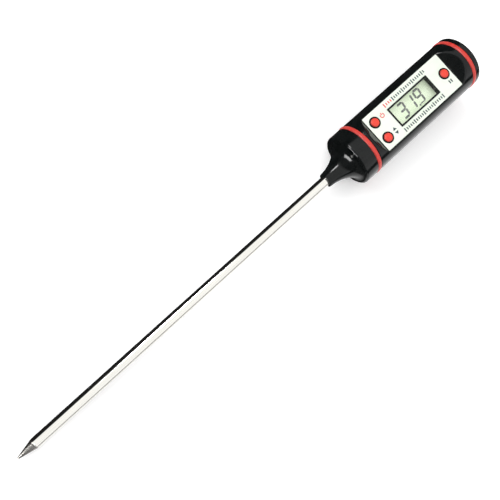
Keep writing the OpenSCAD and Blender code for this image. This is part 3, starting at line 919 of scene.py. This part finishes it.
def dress_inner_nodes():
    """Materials for the CAD nodes that stay: the parts inside the handle."""
    nickel = matte("nickel_plate", (0.66, 0.65, 0.62), (0.78, 0.77, 0.74), 2, (0.18, 0.3), 0.006, 1.0)
    brass = matte("rolled_brass", (0.70, 0.50, 0.22), (0.80, 0.60, 0.30), 2, (0.22, 0.36), 0.006, 1.0)
    epoxy = matte("cured_epoxy", (0.015, 0.015, 0.016), (0.03, 0.03, 0.032), 1, (0.2, 0.35), 0.02)
    ceramic = matte("chip_ceramic", (0.36, 0.26, 0.16), (0.46, 0.35, 0.24), 3)
    resistor = matte("resistor_body", (0.02, 0.02, 0.025), (0.05, 0.05, 0.055), 4)
    nylon = matte("white_nylon", (0.76, 0.76, 0.72), (0.84, 0.84, 0.80), 1)
    switch = matte("switch_shell", (0.05, 0.05, 0.055), (0.09, 0.09, 0.095), 2)
    acetal = matte("plunger_acetal", (0.72, 0.66, 0.50), (0.80, 0.74, 0.60), 2)
    looks = {
        "thermistor_bead": ceramic,
        "heat_paste": matte("set_paste", (0.82, 0.82, 0.80), (0.9, 0.9, 0.88), 3, (0.5, 0.7), 0.03),
        "sensor_lead_left": matte("red_insulation", (0.58, 0.03, 0.02), (0.68, 0.05, 0.03), 2),
        "sensor_lead_right": matte("white_insulation", (0.80, 0.80, 0.76), (0.88, 0.88, 0.85), 2),
        "probe_ferrule": brass,
        "epoxy_seal": epoxy,
        "lcd_front_glass": clear("front_glass", (0.86, 0.95, 0.82), 0.06),
        "lcd_back_glass": lcd_painted_glow(),
        "lcd_reflector": matte("reflector_film", (0.66, 0.69, 0.62), (0.74, 0.77, 0.70), 4, (0.3, 0.45)),
        "lcd_holder": nylon,
        "zebra_strip_left": zebra_rubber(),
        "zebra_strip_right": zebra_rubber(),
        "chassis": matte("chassis_abs", (0.05, 0.052, 0.055), (0.08, 0.082, 0.085), 1),
        "circuit_board": circuit_mask(),
        "chip_blob": epoxy,
        "timing_crystal": nickel,
        "board_resistors": resistor,
        "board_capacitors": ceramic,
        "board_screws": nickel,
        "power_switch": switch,
        "unit_switch": switch,
        "hold_switch": switch,
        "power_switch_plunger": acetal,
        "unit_switch_plunger": acetal,
        "hold_switch_plunger": acetal,
        "negative_contact": nickel,
        "battery_spring": nickel,
        "positive_contact": brass,
        "battery": nickel,
    }
    for name, material in looks.items():
        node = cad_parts[name]
        node.data.materials.clear()
        node.data.materials.append(material)


# ---- stage ----

def make_floor():
    """A pale floor under the probe's lower end and the nose's seal ring, so it leans a little against X.
    It isn't seen in reflections, which keeps the black parts black."""
    touch_probe = Vector((SHOULDER_X, 0, -PROBE_R))
    touch_ring = Vector((NOSE_RING[0], 0, -RING_R))
    along = (touch_ring - touch_probe).normalized()
    normal = Vector((-along.z, 0, along.x))
    half = 3000
    corners = [(-half, -half, 0), (half, -half, 0), (half, half, 0), (-half, half, 0)]
    floor = mesh_piece("floor", corners, [(0, 1, 2, 3)])
    turn = Vector((0, 0, 1)).rotation_difference(normal).to_matrix().to_4x4()
    clear_by = 0.02
    floor.matrix_world = Matrix.Translation((touch_ring - normal * clear_by) * MM) @ turn
    m = Nodes("studio_floor")
    m.tint(m.noise(0.004, 3), (0.93, 0.93, 0.93), (0.95, 0.95, 0.95))
    m.set(Roughness=0.6, Specular_IOR_Level=0.2, Emission_Color=(1, 1, 1, 1), Emission_Strength=0.2)
    floor.data.materials.append(m.material)
    floor.visible_glossy = False


def make_backdrop():
    """A white dome far off, which only the camera sees, so that low views have a plain background too."""
    work = bmesh.new()
    metres = 9
    bmesh.ops.create_uvsphere(work, u_segments=48, v_segments=24, radius=metres)
    mesh = bpy.data.meshes.new("backdrop")
    work.to_mesh(mesh)
    work.free()
    backdrop = add_object("backdrop", mesh)
    for ray in ("visible_diffuse", "visible_glossy", "visible_transmission", "visible_shadow"):
        setattr(backdrop, ray, False)
    m = Nodes("studio_backdrop")
    tone = m.blend(m.band(m.noise(0.0002, 2), *NOISE_SPAN), (0.96, 0.96, 0.96), (1, 1, 1))
    m.link(tone, "Emission Color")
    m.set(Emission_Strength=1.0, Roughness=1.0)
    mesh.materials.append(m.material)


def area_light(name, place, target, size, power):
    """A soft rectangular light. Places and sizes are in millimetres, and the power is in milliwatts."""
    light = bpy.data.lights.new(name, "AREA")
    light.shape = "RECTANGLE"
    light.size = size[0] * MM
    light.size_y = size[1] * MM
    light.energy = power * 0.001
    lamp = add_object(name, light)
    lamp.location = Vector(place) * MM
    lamp.rotation_mode = "QUATERNION"
    lamp.rotation_quaternion = (Vector(target) - Vector(place)).to_track_quat("-Z", "Y")
    return lamp


TENT_GLOW = 1.42                # brightness of the tent's white cloth
TENT_SHADE = 0.015              # brightness of its dark parts


def make_world():
    """A studio tent: white overhead and away from the key, with one dark line there. It is dark below,
    low on the key's side and at the two ends."""
    world = bpy.data.worlds.new("studio")
    world.use_nodes = True
    tree = world.node_tree

    def math_node(operation, first, second=0.0):
        """An operation on one or two values, each a number or another node's output."""
        node = tree.nodes.new("ShaderNodeMath")
        node.operation = operation
        for socket, value in zip(node.inputs, (first, second)):
            if isinstance(value, (int, float)):
                socket.default_value = value
            else:
                tree.links.new(value, socket)
        return node.outputs["Value"]

    def ramp(value, low, high, out_low, out_high):
        """A smooth change from one brightness to another over a range of a value."""
        node = tree.nodes.new("ShaderNodeMapRange")
        node.interpolation_type = "SMOOTHSTEP"
        set_range(node, low, high, out_low, out_high)
        tree.links.new(value, node.inputs["Value"])
        return node.outputs["Result"]

    def angle_ramp(value, low, high, out_low, out_high):
        """The same, over a range of angles in degrees."""
        return ramp(value, math.radians(low), math.radians(high), out_low, out_high)

    direction = tree.nodes.new("ShaderNodeSeparateXYZ")
    tree.links.new(tree.nodes.new("ShaderNodeTexCoord").outputs["Generated"], direction.inputs["Vector"])
    x, y, z = (direction.outputs[name] for name in "XYZ")
    around = math_node("ARCTAN2", y, z)                       # 0 overhead, positive towards the key
    key_side = angle_ramp(around, 38, 50, 1.0, 0.0)
    line_angle = 97                                           # of a dark line, away from the key
    from_line = math_node("ABSOLUTE", math_node("ADD", around, math.radians(line_angle)))
    line = angle_ramp(from_line, 6, 11, 0.0, 1.0)
    below = angle_ramp(around, -178, -150, 0.0, 1.0)
    tent = math_node("MULTIPLY", math_node("MULTIPLY", key_side, line), below)
    end_glow = 0.12                                           # what is left of the glow at the ends
    cap_end = ramp(x, 0.62, 0.86, 1.0, end_glow)
    tip_end = ramp(x, -0.56, -0.42, end_glow, 1.0)
    ends = math_node("MULTIPLY", cap_end, tip_end)
    glow = math_node("ADD", math_node("MULTIPLY", math_node("MULTIPLY", tent, ends), TENT_GLOW), TENT_SHADE)
    background = tree.nodes["Background"]
    background.inputs["Color"].default_value = (1, 1, 1, 1)
    tree.links.new(glow, background.inputs["Strength"])
    bpy.context.scene.world = world


def make_lights():
    """A large soft key from the upper left of the view, and two softboxes that only show as highlights."""
    key = area_light("key", place=(-60, 420, 380), target=(0, 0, 0), size=(560, 420), power=2300)
    key.visible_glossy = False
    nose_glint = area_light("glint", place=(-400, 60, 120), target=(10, 0, 5), size=(260, 120), power=2400)
    nose_glint.visible_diffuse = False
    edge_glint = area_light("edge_glint", place=(-73, 216, 308), target=(67, 8, 8), size=(150, 60), power=900)
    edge_glint.visible_diffuse = False


def make_camera():
    """The camera looks down on the face, leaning towards the point, with the handle at the upper right."""
    target = Vector((-38.9, -0.3, 0))
    distance = 236
    lean = math.radians(10.8)
    roll = math.radians(42.1)
    turn = Matrix.Rotation(-lean, 4, "Y") @ Matrix.Rotation(-roll, 4, "Z")
    back = turn.to_3x3() @ Vector((0, 0, 1))
    camera = add_object("camera", bpy.data.cameras.new("camera"))
    camera.matrix_world = Matrix.Translation((target + back * distance) * MM) @ turn
    camera.data.lens = 46.7
    camera.data.clip_start = 0.01
    camera.data.clip_end = 20
    bpy.context.scene.camera = camera


def build():
    """Makes the outer pieces, dresses the inner nodes and sets the stage."""
    black = gloss_plastic("gloss_black", (0.003, 0.004, 0.004), (0.007, 0.008, 0.008))
    bezel_black = gloss_plastic("bezel_black", (0.006, 0.006, 0.007), (0.010, 0.010, 0.011), (0.2, 0.35))
    seal_red = silicone("seal_red", (0.52, 0.018, 0.011), (0.64, 0.034, 0.020))
    key_red = silicone("key_red", (0.70, 0.030, 0.014), (0.80, 0.050, 0.022), (0.3, 0.42))
    make_tube(polished_steel())
    make_point(ground_steel())
    make_nose(black)
    make_barrel(black)
    make_cap(black)
    make_ring("nose_ring_band", "nose_seal_ring", "handle", NOSE_RING, seal_red)
    make_ring("cap_ring_band", "cap_seal_ring", "cap_ring", CAP_RING, seal_red)
    for name in BUTTONS:
        make_button(name, key_red)
    make_label(label_film())
    make_prints(ink("red_ink", (0.75, 0.12, 0.12), (0.62, 0.03, 0.03)),
                ink("dark_ink", (0.06, 0.09, 0.10), (0.02, 0.03, 0.035)))
    make_bezel(bezel_black)
    make_window(clear("window_acrylic", (0.95, 0.98, 0.96), 0.05))
    make_figures(ink("figure_dark", (0.035, 0.05, 0.04), (0.02, 0.03, 0.025)))
    dress_inner_nodes()
    make_floor()
    make_backdrop()
    make_lights()
    make_world()
    make_camera()
    bpy.context.scene.view_settings.view_transform = "Standard"


build()
